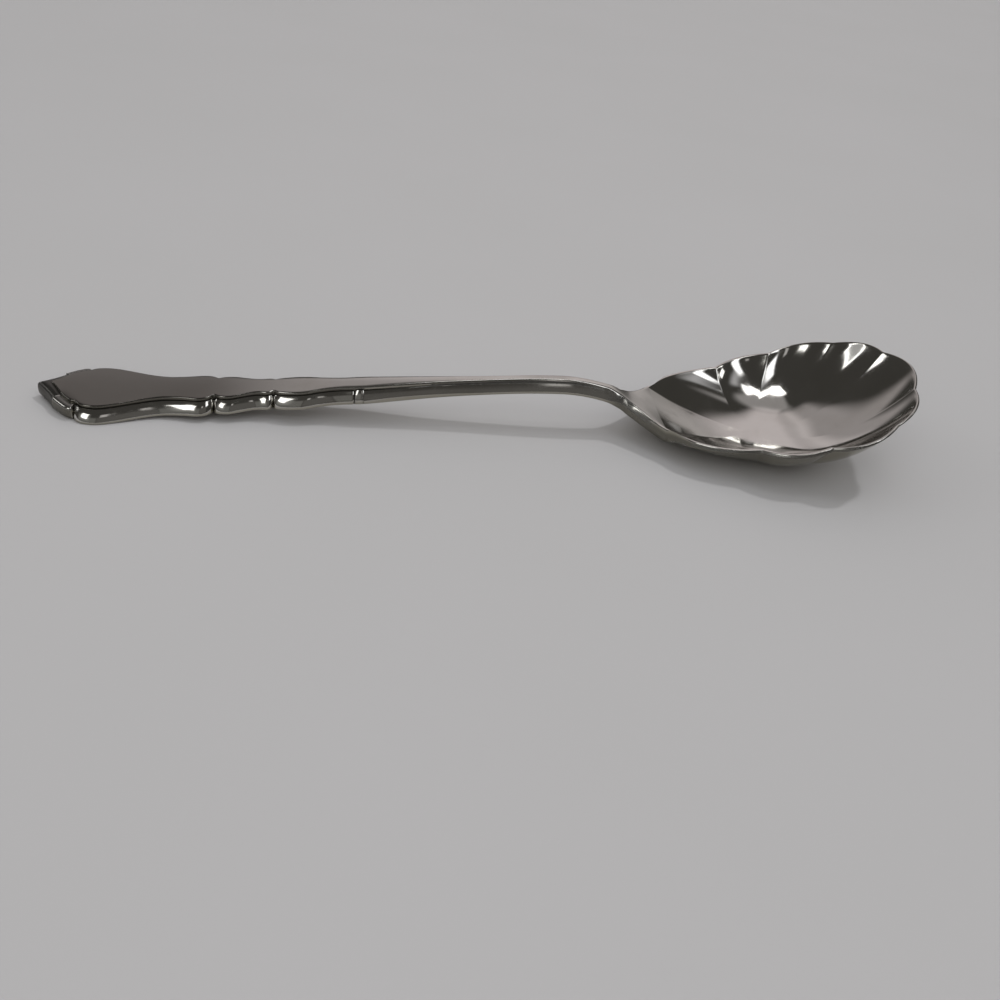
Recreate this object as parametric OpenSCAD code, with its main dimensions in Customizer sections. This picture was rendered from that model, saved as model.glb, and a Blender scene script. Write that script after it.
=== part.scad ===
// Sugar spoon with a scalloped shell bowl, lying as it rests on a table.
// X runs from the handle's end to the bowl's tip, Y runs across and Z is up.
// The origin lies on the table, under the middle of the spoon.
// The real spoon is one forging. Its zones are separate solids that meet face to face.

/* [Whole spoon] */
// Height of the stem's arched back above the table
arch_h = 10.1; // [8.5:0.1:12]

/* [Bowl] */
// Length of the bowl from the neck's seam to its tip
bowl_l = 45.5; // [38:0.5:52]
// Width of the bowl between its widest pair of notches
bowl_w = 34.8; // [28:0.2:42]
// Height of the rim where the bowl meets the neck
rim_neck_h = 5.4; // [4:0.1:6.5]
// Height of the rim at the bowl's tip
rim_tip_h = 17.4; // [13:0.1:20]
// Height of the bowl's floor inside, above the table
floor_h = 1.1; // [0.8:0.1:2]
// Thickness of the bowl's wall
wall_t = 1.3; // [1:0.1:2]
// Thickness of the bowl's wall at its tip, where the forging is drawn out thin
tip_t = 0.6; // [0.5:0.1:1]
// Depth of a scallop beyond the line between its notches
scallop_d = 2; // [1:0.1:2.6]

/* [Neck] */
// Length of the neck between the stem and the bowl
neck_l = 7.5; // [6:0.5:10]
// Width of the neck where it meets the bowl
neck_w = 16.4; // [13:0.2:19]
// Depth of the trough in the neck where it meets the bowl
trough_d = 0.5; // [0.2:0.1:0.8]
// Thickness of the metal in the middle of the neck's seam
neck_t = 3; // [2.4:0.1:3.6]
// Thickness of the metal at the two sides of the neck's seam
neck_side_t = 2; // [1.4:0.1:2.2]

/* [Stem] */
// Length of the stem between the handle's beads and the neck
stem_l = 45.1; // [34:0.1:60]
// Width of the stem at its slimmest
stem_w = 3.8; // [3:0.1:5]
// Thickness of the stem
stem_t = 2.7; // [2.2:0.1:3.4]
// Width of the stem where it meets the handle
stem_root_w = 6.3; // [5.4:0.1:7.4]

/* [Handle] */
// Length of the bordered handle from its end to the beads
handle_l = 54.4; // [46:0.2:62]
// Greatest width of the handle
handle_w = 16.7; // [14:0.1:20]
// Thickness of the handle
handle_t = 2.7; // [2.2:0.1:3.4]
// Rise of the smooth panel in its middle above its edge
panel_crown = 0.3; // [0.1:0.05:0.6]
// Width of the rolled border at the handle's end
border_w = 1.9; // [1.4:0.1:2.3]
// Width of the rolled border beside the beads
border_end_w = 1.2; // [0.9:0.1:1.5]
// Drop from the panel's edge to the border
border_step = 0.5; // [0.3:0.05:0.8]
// Drop from the panel's edge to the band round the handle's end
band_step = 0.2; // [0.1:0.05:0.5]
// Length of the small bead that ends each border
bead_l = 1.6; // [1:0.1:2.4]
// Height of the bead above the border
bead_rise = 0.35; // [0.2:0.05:0.6]

/* [Hidden] */

// Facet counts along and across each form
across_n = 8;
rings_n = 13;
stem_n = 28;
neck_n = 7;
step_n = 3;
bead_n = 8;

// Places measured from the handle's end
neck_x = handle_l + stem_l;
bowl_x = neck_x + neck_l;
spoon_l = bowl_x + bowl_l;
function from_end(s) = s - spoon_l / 2;

// Bowl seen from above: the seam's corner and the four notches of one side. The first share is of
// the bowl's length, and the second runs from the seam's half width to the bowl's half width
notch_shares = [[0, 0], [0.33, 0.733], [0.573, 1], [0.824, 0.791], [0.955, -0.128]];
// Depth of each scallop from the neck to the tip, as shares of the scallop depth
scallop_shares = [0.87, 0.79, 1.03, 0.77, 1.02];
// Facets along each scallop
scallop_n = [12, 8, 8, 8, 10];
// Place of the bowl's lowest point along its length, as a share
centre_share = 0.42;
// Thickness of the wall along the bowl: 1 is the neck's side, 0 the wall and -1 the tip
thickness_shares = [[0, 1], [0.25, 0], [0.45, 0], [0.85, -1], [1, -1]];
// Share of the tip's thickness that leans out past the rim's inner edge
lean_share = 0.82;
// How steeply the wall climbs, and the share of the way out at which the flutes start
wall_power = 2.6;
flute_start_share = 0.45;

// Top line of the spoon: places as shares of the length before the bowl, heights of the arch
top_line_shares = [[0, 0.31], [0.05, 0.28], [0.112, 0.267], [0.224, 0.347], [0.355, 0.475], [0.505, 0.658],
                   [0.673, 0.861], [0.832, 1], [0.907, 0.9], [0.953, 0.685], [0.98, 0.57]];
// Half width of the stem from the handle to the neck: 1 is the root's, 0 is the slimmest
stem_width_shares = [[0, 1], [0.15, 0.56], [0.32, 0.18], [0.55, 0], [0.9, 0], [1, 0.1]];

// Sections of half the stem, from the middle of its top round to the middle of its underside:
// the share of its half width, and the share of its thickness down from the top
root_shares = [[0, 0], [0.31, 0], [0.62, 0.05], [0.7, 0.2], [0.97, 0.42],
               [1, 0.62], [0.93, 0.86], [0.7, 1], [0.35, 1], [0, 1]];
bar_shares = [[0, 0], [0.24, 0.01], [0.42, 0.05], [0.52, 0.15], [0.76, 0.38],
              [0.95, 0.6], [1, 0.76], [0.82, 0.93], [0.42, 0.99], [0, 1]];
// Place along the stem by which the root's section has become the bar's
root_fade_share = 0.5;

// Outline of one side of the handle, one list for each curve between two cusps,
// as shares of the border's length and of the handle's half width
end_shares = [[0, 0], [0.014, 0.105], [0.036, 0.27], [0.064, 0.52]];
ear_shares = [[0.064, 0.52], [0.082, 0.64], [0.103, 0.76], [0.121, 0.832], [0.137, 0.845]];
swell_shares = [[0.137, 0.845], [0.156, 0.952], [0.183, 1], [0.216, 0.99], [0.263, 0.898],
                [0.334, 0.725], [0.385, 0.635], [0.42, 0.62], [0.466, 0.64], [0.506, 0.675],
                [0.534, 0.635], [0.555, 0.53]];
waist_shares = [[0.555, 0.53], [0.578, 0.593], [0.609, 0.599], [0.643, 0.527], [0.677, 0.461],
                [0.7, 0.449], [0.723, 0.467], [0.74, 0.407]];
tail_shares = [[0.74, 0.407], [0.763, 0.473], [0.811, 0.509], [0.849, 0.491], [0.887, 0.425],
               [0.926, 0.383], [0.964, 0.371], [1, 0.38]];
// Section of the border from the panel outwards, over the roll and back under: the share of its
// width, and the share of the height from the underside to the ledge beside the panel
roll_shares = [[0, 1], [0.35, 1.02], [0.65, 0.9], [0.88, 0.68], [1, 0.42], [0.93, 0.18],
               [0.7, 0], [0, 0]];
// The same at the point of the handle's end, where the band has a squarer edge
band_shares = [[0, 1], [0.45, 1.04], [0.82, 1], [0.96, 0.82], [1, 0.5], [0.95, 0.18],
               [0.75, 0], [0, 0]];
// Slope of the neck's flare where it meets the bowl, as a share of the seam's half width
neck_flare_share = 0.7;
// Length of the end's band along the middle, as a share of the way to the cusp behind it
end_band_share = 0.32;

// Smooth curve through a table of places and values
function slope(t, i) = let (a = max(i - 1, 0), b = min(i + 1, len(t) - 1))
    (t[b][1] - t[a][1]) / (t[b][0] - t[a][0]);
function span(t, x, i = 0) = i >= len(t) - 2 || x < t[i + 1][0] ? i : span(t, x, i + 1);
function blend(a, b, sa, sb, u) = a * (1 + 2 * u) * (1 - u) * (1 - u) + b * (3 - 2 * u) * u * u
    + sa * u * (1 - u) * (1 - u) - sb * u * u * (1 - u);
function curve(t, x) = let (i = span(t, x), h = t[i + 1][0] - t[i][0], u = (x - t[i][0]) / h)
    blend(t[i][1], t[i + 1][1], h * slope(t, i), h * slope(t, i + 1), u);
function smooth(u) = u <= 0 ? 0 : u >= 1 ? 1 : u * u * (3 - 2 * u);
function mix(a, b, u) = a + (b - a) * u;

// Height of the spoon's top along its middle
seam_h = rim_neck_h - trough_d;
top_line = concat([for (p = top_line_shares) [p[0] * bowl_x, p[1] * arch_h]],
                  [[bowl_x, seam_h]]);
function top_h(s) = curve(top_line, s);
function under_h(s) = max(0, top_h(s) - handle_t);

// Closed solid through flat rings of points, which run from -Y to +Y over their top
module loft(rings) {
    n = len(rings[0]);
    last = len(rings) - 1;
    polyhedron(
        points = [for (r = rings) each r],
        faces = concat([[for (j = [n - 1:-1:0]) j]],
            [for (i = [0:last - 1], j = [0:n - 1]) let (k = (j + 1) % n, a = i * n, b = a + n)
                each [[a + j, b + k, b + j], [a + j, a + k, b + k]]],
            [[for (j = [0:n - 1]) last * n + j]]),
        convexity = 6);
}

// Flat ring of half a section and its mirror image: half holds places across and heights
function ring(s, half) = let (top = len(half) / 2, n = len(half)) concat(
    [for (i = [top - 1:-1:1]) [from_end(s), -half[i][0], half[i][1]]],
    [for (i = [0:n - 1]) [from_end(s), half[i][0], half[i][1]]],
    [for (i = [n - 2:-1:top]) [from_end(s), -half[i][0], half[i][1]]]);

// Smooth path through a list of knots in the plane
function knot_dir(t, i) = let (a = max(i - 1, 0), b = min(i + 1, len(t) - 1))
    (t[b] - t[a]) / (b - a);
function path_point(t, i, u) = blend(t[i], t[i + 1], knot_dir(t, i), knot_dir(t, i + 1), u);
function back(t, skip = 0) = [for (i = [len(t) - 1 - skip:-1:0]) t[i]];

// Bowl: smooth outline through the notches, and the scalloped rim outside it
seam_half_w = neck_w / 2;
inner_l = bowl_l - tip_t * lean_share;
notches = [for (p = notch_shares)
    [bowl_x + p[0] * inner_l, mix(seam_half_w, bowl_w / 2, p[1])]];
rim_knots = concat(notches, [for (p = back(notches)) [p[0], -p[1]]]);
scallops = concat(scallop_shares, back(scallop_shares, 1));
scallop_steps = concat(scallop_n, back(scallop_n, 1));
function scalloped(i, u) = let (a = rim_knots[i], b = rim_knots[i + 1], d = b - a)
    a + d * u + [-d[1], d[0]] / norm(d) * scallops[i] * scallop_d * 4 * u * (1 - u);
// Each rim place holds its plain point, its scalloped point and 1 where it is on the seam
rim_places = concat(
    [for (i = [0:len(rim_knots) - 2], j = [0:scallop_steps[i] - 1])
        let (u = j / scallop_steps[i])
        [path_point(rim_knots, i, u), scalloped(i, u), i + j == 0 ? 1 : 0]],
    [for (j = [0:across_n - 1])
        let (p = [bowl_x, mix(-seam_half_w, seam_half_w, j / across_n)]) [p, p, 1]]);
places_n = len(rim_places);
centre = [bowl_x + centre_share * bowl_l, 0];
seam_belly = trough_d + neck_t - neck_side_t;
function thickness(x) = let (u = curve(thickness_shares, (x - bowl_x) / bowl_l))
    u > 0 ? mix(wall_t, neck_side_t, min(u, 1)) : mix(wall_t, tip_t, min(-u, 1));

function rim_h(x) = mix(rim_neck_h, rim_tip_h, pow(max(0, (x - bowl_x) / bowl_l), 2));
function across(y) = 1 - pow(y / seam_half_w, 2);
function edge_h(p) = p[2] == 1 ? rim_neck_h - trough_d * across(p[1][1])
    : rim_h(p[1][0]);
function inner(p, r) = let (
        flute = smooth((r - flute_start_share) / (1 - flute_start_share)),
        plan = centre + r * (p[0] - centre) + flute * (p[1] - p[0]))
    [from_end(plan[0]), plan[1], mix(floor_h, edge_h(p), pow(r, wall_power))];
function outer(p, r) = let (
        out = p[0] - centre,
        climb = wall_power * (edge_h(p) - floor_h) * pow(r, wall_power - 1) / norm(out),
        dir = out * climb / norm(out),
        t = thickness(mix(centre[0], p[1][0], r)),
        wall = inner(p, r) + [dir[0], dir[1], -1] * t / norm([climb, 1]),
        seam_low = rim_neck_h - neck_side_t - seam_belly * sqrt(max(0, across(p[1][1]))),
        seam = [from_end(p[1][0]), p[1][1], seam_low],
        q = p[2] == 1 ? mix(wall, seam, r * r * r * r) : wall)
    [q[0], q[1], max(0, q[2])];

module bowl() color("lightsteelblue") {
    hub = rings_n * places_n;
    under = hub + 1;
    rim = hub - places_n;
    middle = [from_end(centre[0]), centre[1]];
    points = concat(
        [for (i = [1:rings_n], p = rim_places) inner(p, i / rings_n)],
        [[middle[0], middle[1], floor_h]],
        [for (i = [1:rings_n], p = rim_places) outer(p, i / rings_n)],
        [[middle[0], middle[1], 0]]);
    inside = concat(
        [for (j = [0:places_n - 1]) [hub, j, (j + 1) % places_n]],
        [for (i = [0:rings_n - 2], j = [0:places_n - 1])
            let (k = (j + 1) % places_n, a = i * places_n, b = a + places_n)
            each [[a + j, b + j, b + k], [a + j, b + k, a + k]]]);
    polyhedron(points = points, faces = concat(
            inside,
            [for (f = inside) [for (i = [2:-1:0]) under + f[i]]],
            [for (j = [0:places_n - 1]) let (a = rim + j, b = rim + (j + 1) % places_n)
                each [[b, a, under + a], [b, under + a, under + b]]]),
        convexity = 8);
}

// Stem: its root takes up the handle's section and slims to a rounded bar
function stem_half_w(u) = mix(stem_w, stem_root_w, max(0, curve(stem_width_shares, u))) / 2;
function stem_half(u) = let (s = handle_l + u * stem_l, k = smooth(u / root_fade_share))
    [for (i = [0:len(bar_shares) - 1]) let (q = mix(root_shares[i], bar_shares[i], k))
        [q[0] * stem_half_w(u), top_h(s) - q[1] * stem_t]];
module stem() color("silver") loft([for (i = [0:stem_n])
    ring(handle_l + i / stem_n * stem_l, stem_half(i / stem_n))]);

// Neck: flares from the end of the stem to the bowl's curved edge
half_n = across_n / 2;
seam_half = concat(
    [for (i = [0:half_n]) let (y = i / half_n * seam_half_w)
        [y, rim_neck_h - trough_d * across(y)]],
    [for (i = [half_n:-1:0]) let (y = i / half_n * seam_half_w)
        [y, rim_neck_h - neck_side_t - seam_belly * sqrt(across(y))]]);
module neck() color("slategray") loft([for (i = [0:neck_n]) let (
        u = i / neck_n,
        s = neck_x + u * neck_l,
        wide = stem_half_w(1),
        half_w = blend(wide, seam_half_w, 0, neck_flare_share * seam_half_w, u),
        stem_end = stem_half(1))
    ring(s, [for (j = [0:len(seam_half) - 1]) let (
            a = [stem_end[j][0] / wide, stem_end[j][1] - top_h(neck_x)],
            b = [seam_half[j][0] / seam_half_w, seam_half[j][1] - seam_h],
            q = mix(a, b, smooth(u)))
        [q[0] * half_w, top_h(s) + q[1]]])]);

// Handle: outline of one side, and the panel's edge inside it
border_l = handle_l - bead_l;
function knots_of(shares) = [for (p = shares) [p[0] * border_l, p[1] * handle_w / 2]];
function side_path(shares) = let (t = knots_of(shares))
    [for (i = [0:len(t) - 2], j = [0:step_n - 1]) path_point(t, i, j / step_n)];
function last_knot(shares) = knots_of(shares)[len(shares) - 1];
cusp = last_knot(ear_shares);
bead_root = last_knot(tail_shares);
band_path = concat(side_path(end_shares), side_path(ear_shares), [cusp]);
border_path = concat(side_path(swell_shares), side_path(waist_shares), side_path(tail_shares),
    [bead_root]);
function border_at(s) = mix(border_w, border_end_w, s / handle_l);
cusp_in_share = 1 - border_at(cusp[0]) / cusp[1];
function panel_edge(p) = p[0] < cusp[0]
    ? [mix(end_band_share * cusp[0], cusp[0], p[0] / cusp[0]), p[1] * cusp_in_share]
    : [p[0], p[1] - border_at(p[0])];

// Section of the border between a panel's edge and an outline point
function border_section(edge, out, ledge_h, side, square = 0) = [for (i = [0:len(roll_shares) - 1])
    let (q = mix(roll_shares[i], band_shares[i], square), p = mix(edge, out, q[0]))
    [from_end(p[0]), side * p[1], mix(under_h(edge[0]), ledge_h, q[1])]];
module side_strip(rings, side) loft(side > 0 ? rings : back(rings));
module border(side) side_strip([for (p = border_path) let (e = panel_edge(p))
    border_section(e, p, top_h(e[0]) - border_step, side)], side);
module left_border() color("dimgray") border(1);
module right_border() color("dimgray") border(-1);

// Bead: a short half round that ends each border
bead_in = panel_edge(bead_root)[1];
module bead(side) side_strip([for (i = [0:bead_n]) let (
        u = i / bead_n,
        s = border_l + u * bead_l,
        rise = bead_rise * sqrt(max(0, 1 - pow(2 * u - 1, 2))))
    border_section([s, bead_in], [s, bead_root[1] + rise], top_h(s) - border_step + rise, side)],
    side);
module left_bead() color("gainsboro") bead(1);
module right_bead() color("gainsboro") bead(-1);

// Band round the handle's pointed end, proudest at the point and level with the border at the cusps
band_half = concat([[[panel_edge(band_path[1])[0], 0], band_path[0]]],
    [for (i = [1:len(band_path) - 1]) [panel_edge(band_path[i]), band_path[i]]]);
function band_section(h, side) = let (square = 1 - h[1][0] / cusp[0])
    border_section(h[0], h[1], top_h(h[0][0]) - mix(border_step, band_step, square), side, square);
module end_scroll() color("darkgray") loft(concat(
    [for (h = back(band_half)) band_section(h, -1)],
    [for (i = [1:len(band_half) - 1]) band_section(band_half[i], 1)]));

// Blade: the crowned panel and the metal under it
panel_path = concat(
    [for (i = [1:len(band_path) - 2]) panel_edge(band_path[i])],
    [for (p = border_path) panel_edge(p)],
    [[handle_l, bead_in]]);
module handle_blade() color("gray") loft([for (p = panel_path) concat(
    [for (j = [0:across_n]) let (u = 2 * j / across_n - 1)
        [from_end(p[0]), u * p[1], top_h(p[0]) + panel_crown * (1 - u * u)]],
    [[from_end(p[0]), p[1], under_h(p[0])], [from_end(p[0]), -p[1], under_h(p[0])]])]);

bowl();
neck();
stem();
handle_blade();
left_border();
right_border();
left_bead();
right_bead();
end_scroll();
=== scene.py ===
import logging
import math
from dataclasses import dataclass
from enum import Enum
from typing import Callable, Sequence

import bmesh
import bpy
import numpy as np
from mathutils import Matrix, Vector


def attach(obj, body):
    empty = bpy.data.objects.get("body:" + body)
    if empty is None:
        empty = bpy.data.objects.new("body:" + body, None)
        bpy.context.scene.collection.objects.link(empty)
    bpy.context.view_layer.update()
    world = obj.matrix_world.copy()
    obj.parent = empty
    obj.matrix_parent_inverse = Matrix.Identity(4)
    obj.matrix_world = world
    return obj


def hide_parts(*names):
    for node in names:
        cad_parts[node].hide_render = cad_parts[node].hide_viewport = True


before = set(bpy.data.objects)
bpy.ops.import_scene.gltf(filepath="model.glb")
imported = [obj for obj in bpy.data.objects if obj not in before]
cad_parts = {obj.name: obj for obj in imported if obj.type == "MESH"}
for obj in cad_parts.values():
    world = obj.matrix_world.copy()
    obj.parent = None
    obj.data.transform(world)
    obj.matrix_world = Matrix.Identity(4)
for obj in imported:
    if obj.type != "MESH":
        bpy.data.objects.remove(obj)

log = logging.getLogger("sugar_spoon")
MM = 0.001
KNOT_STEPS = 12
Real = float | np.ndarray
Table = Sequence[Sequence[float]]


# Curves


def smooth(u: Real, start: float = 0.0, end: float = 1.0) -> Real:
    """Smooth step from 0 at the start to 1 at the end."""
    u = np.clip((u - start) / (end - start), 0.0, 1.0)
    return u * u * (3 - 2 * u)


def mix(a: Real, b: Real, u: Real) -> Real:
    """Value a share u of the way from a to b."""
    return a + (b - a) * u


def blend(a: Real, b: Real, slope_a: Real, slope_b: Real, u: Real) -> Real:
    """Cubic between two values with given slopes at both ends."""
    return (a * (1 + 2 * u) * (1 - u) ** 2 + b * (3 - 2 * u) * u * u
            + slope_a * u * (1 - u) ** 2 - slope_b * u * u * (1 - u))


def neighbours(n: int) -> tuple[np.ndarray, np.ndarray]:
    """The places before and after each of n places, held at both ends."""
    return np.maximum(np.arange(n) - 1, 0), np.minimum(np.arange(n) + 1, n - 1)


def ways(knots: np.ndarray) -> np.ndarray:
    """Way that a path takes through each of its knots, for one step."""
    low, high = neighbours(len(knots))
    return (knots[high] - knots[low]) / (high - low)[:, None]


def curve(table: Table, x: Real) -> np.ndarray:
    """Smooth curve through a table of places and values.

    Args:
        table: rows of place and value, with rising places.
        x: places to read.

    Returns:
        The values there.
    """
    t = np.asarray(table, float)
    x = np.asarray(x, float)
    i = np.clip(np.searchsorted(t[:, 0], x, side="right") - 1, 0, len(t) - 2)
    low, high = neighbours(len(t))
    slopes = (t[high, 1] - t[low, 1]) / (t[high, 0] - t[low, 0])
    h = t[i + 1, 0] - t[i, 0]
    return blend(t[i, 1], t[i + 1, 1], h * slopes[i], h * slopes[i + 1], (x - t[i, 0]) / h)


def path(knots: Table, per_span: int = KNOT_STEPS, closed_end: bool = True) -> np.ndarray:
    """Smooth path through knots in the plane.

    Args:
        knots: the points that it runs through.
        per_span: steps between two knots.
        closed_end: whether the last knot is included.

    Returns:
        An array of points.
    """
    k = np.asarray(knots, float)
    way = ways(k)
    rows = [blend(k[i], k[i + 1], way[i], way[i + 1], j / per_span)
            for i in range(len(k) - 1) for j in range(per_span)]
    return np.array(rows + [k[-1]] if closed_end else rows)


def along(points: np.ndarray) -> np.ndarray:
    """Distance of each point from the path's start."""
    return np.concatenate([[0.0], np.cumsum(np.linalg.norm(np.diff(points, axis=0), axis=1))])


def read(points: np.ndarray, length: np.ndarray, at: Sequence[float] | np.ndarray) -> np.ndarray:
    """Points of a path at given distances, where its own points lie at given lengths."""
    return np.stack([np.interp(at, length, column) for column in points.T], 1)


def soften(points: np.ndarray, corners: Sequence[int], radius: float, closed: bool) -> np.ndarray:
    """Rounds the corners of a path by a short moving average, and leaves the rest.

    Args:
        points: the path.
        corners: the places of its corners.
        radius: how far the rounding reaches, in the path's own unit.
        closed: whether the path runs round.

    Returns:
        The path with its corners rounded.
    """
    window, dense_n = 60, 321
    reach, wide = 2.5 * radius, 4 * radius
    out = points.copy()
    n = len(points)
    for c in corners:
        ids = [i % n if closed else min(max(i, 0), n - 1) for i in range(c - window, c + window + 1)]
        local = points[ids]
        length = along(local)
        middle = length[window]
        dense_at = np.linspace(middle - wide, middle + wide, dense_n)
        dense = read(local, length, dense_at)
        for i, at in zip(ids, length):
            gap = abs(at - middle)
            if gap > reach:
                continue
            w = np.exp(-((dense_at - at) / radius) ** 2)
            mean = (dense * w[:, None]).sum(0) / w.sum()
            out[i] = mix(points[i], mean, smooth(1 - gap / reach) ** 0.5)
    return out


def resample(points: np.ndarray, count: int) -> np.ndarray:
    """The same path with a number of even steps, so with one point more."""
    length = along(points)
    return read(points, length, np.linspace(0, length[-1], count + 1))


def graded(points: np.ndarray, corners: Sequence[int], least: float, most: float,
           growth: float) -> tuple[np.ndarray, np.ndarray]:
    """Steps along a path that are short near its corners and long elsewhere.

    Args:
        points: the path.
        corners: the places of its corners.
        least: the shortest step.
        most: the longest step.
        growth: how fast a step grows with its distance from a corner.

    Returns:
        The new path, and the distance of each of its points to the nearest corner.
    """
    length = along(points)
    marks = length[list(corners)]
    rows, at = [], 0.0
    while at < length[-1]:
        rows.append(at)
        at += min(most, least + growth * float(np.min(np.abs(marks - at))))
    if length[-1] - rows[-1] < least / 2:
        rows.pop()
    rows.append(length[-1])
    return read(points, length, rows), np.array([float(np.min(np.abs(marks - a))) for a in rows])


def rounded_end(gap: Real, reach: float) -> np.ndarray:
    """1 at an end and 0 from a reach away, along a quarter of a circle."""
    u = np.clip(1 - np.asarray(gap) / reach, 0.0, 1.0)
    return 1 - np.sqrt(1 - u * u)


def mirrored(half: np.ndarray) -> np.ndarray:
    """Makes a whole ring of a half section that runs from the middle above to the middle below.

    Args:
        half: its points, or one value for each of them.

    Returns:
        The points or the values of the whole ring.
    """
    right = half[1:-1][::-1].copy()
    if half.ndim > 1:
        right[:, 0] *= -1
    return np.concatenate([half, right])


# Bench


class End(Enum):
    """How the first and the last ring of a loft are closed."""

    FACE = "face"
    POINT = "point"


class Bench:
    """Makes meshes by hand's steps: a primitive, edit mode operators, then a finish."""

    @staticmethod
    def clear() -> None:
        """Leaves edit mode and deselects everything."""
        if bpy.context.object and bpy.context.object.mode != "OBJECT":
            bpy.ops.object.mode_set(mode="OBJECT")
        bpy.ops.object.select_all(action="DESELECT")

    @staticmethod
    def next_ring(bm: bmesh.types.BMesh, ring: list[int]) -> list[int]:
        """Finds the points that an extrude drew out of a ring.

        Args:
            bm: the mesh in edit mode, with its newest points selected.
            ring: numbers of the previous ring's points.

        Returns:
            Numbers of the new ring's points, in the same order.
        """
        bm.verts.ensure_lookup_table()
        out = []
        for i in ring:
            v = bm.verts[i]
            out.append(next(e.other_vert(v).index for e in v.link_edges if e.other_vert(v).select))
        return out

    @staticmethod
    def close(end: End) -> None:
        """Closes the selected ring.

        Args:
            end: how it is closed.
        """
        if end is End.FACE:
            bpy.ops.mesh.edge_face_add()
        else:
            bpy.ops.mesh.merge(type="CENTER")

    @classmethod
    def loft(cls, name: str, rings: Sequence[np.ndarray], values: Sequence[np.ndarray],
             end: End = End.FACE, angle: float = 35.0) -> bpy.types.Object:
        """Extrudes a ring of points through a row of sections, and smooths the piece's shading.

        Args:
            name: the piece's name.
            rings: sections in millimetres, all with the same number of points.
            values: a number for each point of each ring, kept as a point attribute: how much painted shade
                the point gets.
            end: how the first and the last ring are closed.
            angle: edges sharper than this, in degrees, stay sharp.

        Returns:
            The piece, with its place in its mesh.
        """
        cls.clear()
        size = float(np.ptp(rings[0], axis=0).max()) * MM / 2 + MM
        bpy.ops.mesh.primitive_circle_add(vertices=len(rings[0]), radius=size, location=(0, 0, 0))
        piece = bpy.context.object
        piece.name = piece.data.name = name
        bpy.ops.object.mode_set(mode="EDIT")
        bpy.ops.mesh.select_mode(type="EDGE")
        bpy.ops.mesh.select_all(action="SELECT")
        bm = bmesh.from_edit_mesh(piece.data)
        bm.verts.layers.float.new("painted_shade")
        bm.verts.ensure_lookup_table()
        ring = list(range(len(bm.verts)))
        for r, points in enumerate(rings):
            if r:
                bpy.ops.mesh.extrude_region()
                bm = bmesh.from_edit_mesh(piece.data)
                ring = cls.next_ring(bm, ring)
            layer = bm.verts.layers.float["painted_shade"]
            for i, point, value in zip(ring, points, values[r]):
                bm.verts[i].co = point * MM
                bm.verts[i][layer] = float(value)
        cls.close(end)
        bm = bmesh.from_edit_mesh(piece.data)
        bm.verts.ensure_lookup_table()
        bpy.ops.mesh.select_all(action="DESELECT")
        for i in range(len(rings[0])):
            bm.verts[i].select = True
        bm.select_mode = {"VERT"}
        bm.select_flush(True)
        cls.close(end)
        bpy.ops.mesh.select_mode(type="FACE")
        bpy.ops.mesh.select_all(action="SELECT")
        bpy.ops.mesh.normals_make_consistent(inside=False)
        cls.clear()
        piece.select_set(True)
        bpy.ops.object.shade_smooth_by_angle(angle=math.radians(angle))
        cls.clear()
        return piece


# Whole spoon


@dataclass(frozen=True)
class SpoonLine:
    """Lengths of the spoon's zones and the line that its top follows, in millimetres."""

    bowl_l: float = 45.5
    neck_l: float = 7.5
    stem_l: float = 45.1
    handle_l: float = 54.4
    handle_t: float = 2.7
    arch_h: float = 10.1
    seam_h: float = 4.9
    shares: tuple = ((0, 0.31), (0.05, 0.28), (0.112, 0.267), (0.224, 0.347), (0.355, 0.475),
                     (0.505, 0.658), (0.673, 0.861), (0.832, 1), (0.907, 0.9), (0.953, 0.685), (0.98, 0.57))

    @property
    def neck_x(self) -> float:
        """Where the neck starts, from the handle's end."""
        return self.handle_l + self.stem_l

    @property
    def bowl_x(self) -> float:
        """Where the bowl starts, from the handle's end."""
        return self.neck_x + self.neck_l

    @property
    def length(self) -> float:
        """Length of the whole spoon."""
        return self.bowl_x + self.bowl_l

    def from_end(self, s: Real) -> Real:
        """Place in the frame of a distance from the handle's end."""
        return s - self.length / 2

    def top(self, s: Real) -> np.ndarray:
        """Height of the spoon's top along its middle."""
        table = [(p[0] * self.bowl_x, p[1] * self.arch_h) for p in self.shares]
        return curve(table + [(self.bowl_x, self.seam_h)], s)

    def under(self, s: Real) -> np.ndarray:
        """Height of the handle's underside."""
        return np.maximum(0.0, self.top(s) - self.handle_t)

    def place(self, half: np.ndarray, s: float) -> np.ndarray:
        """Whole ring of a half section, drawn from the top at a distance from the handle's end."""
        ring = mirrored(half)
        return np.column_stack([np.full(len(ring), self.from_end(s)), ring[:, 0], ring[:, 1] + self.top(s)])


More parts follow.
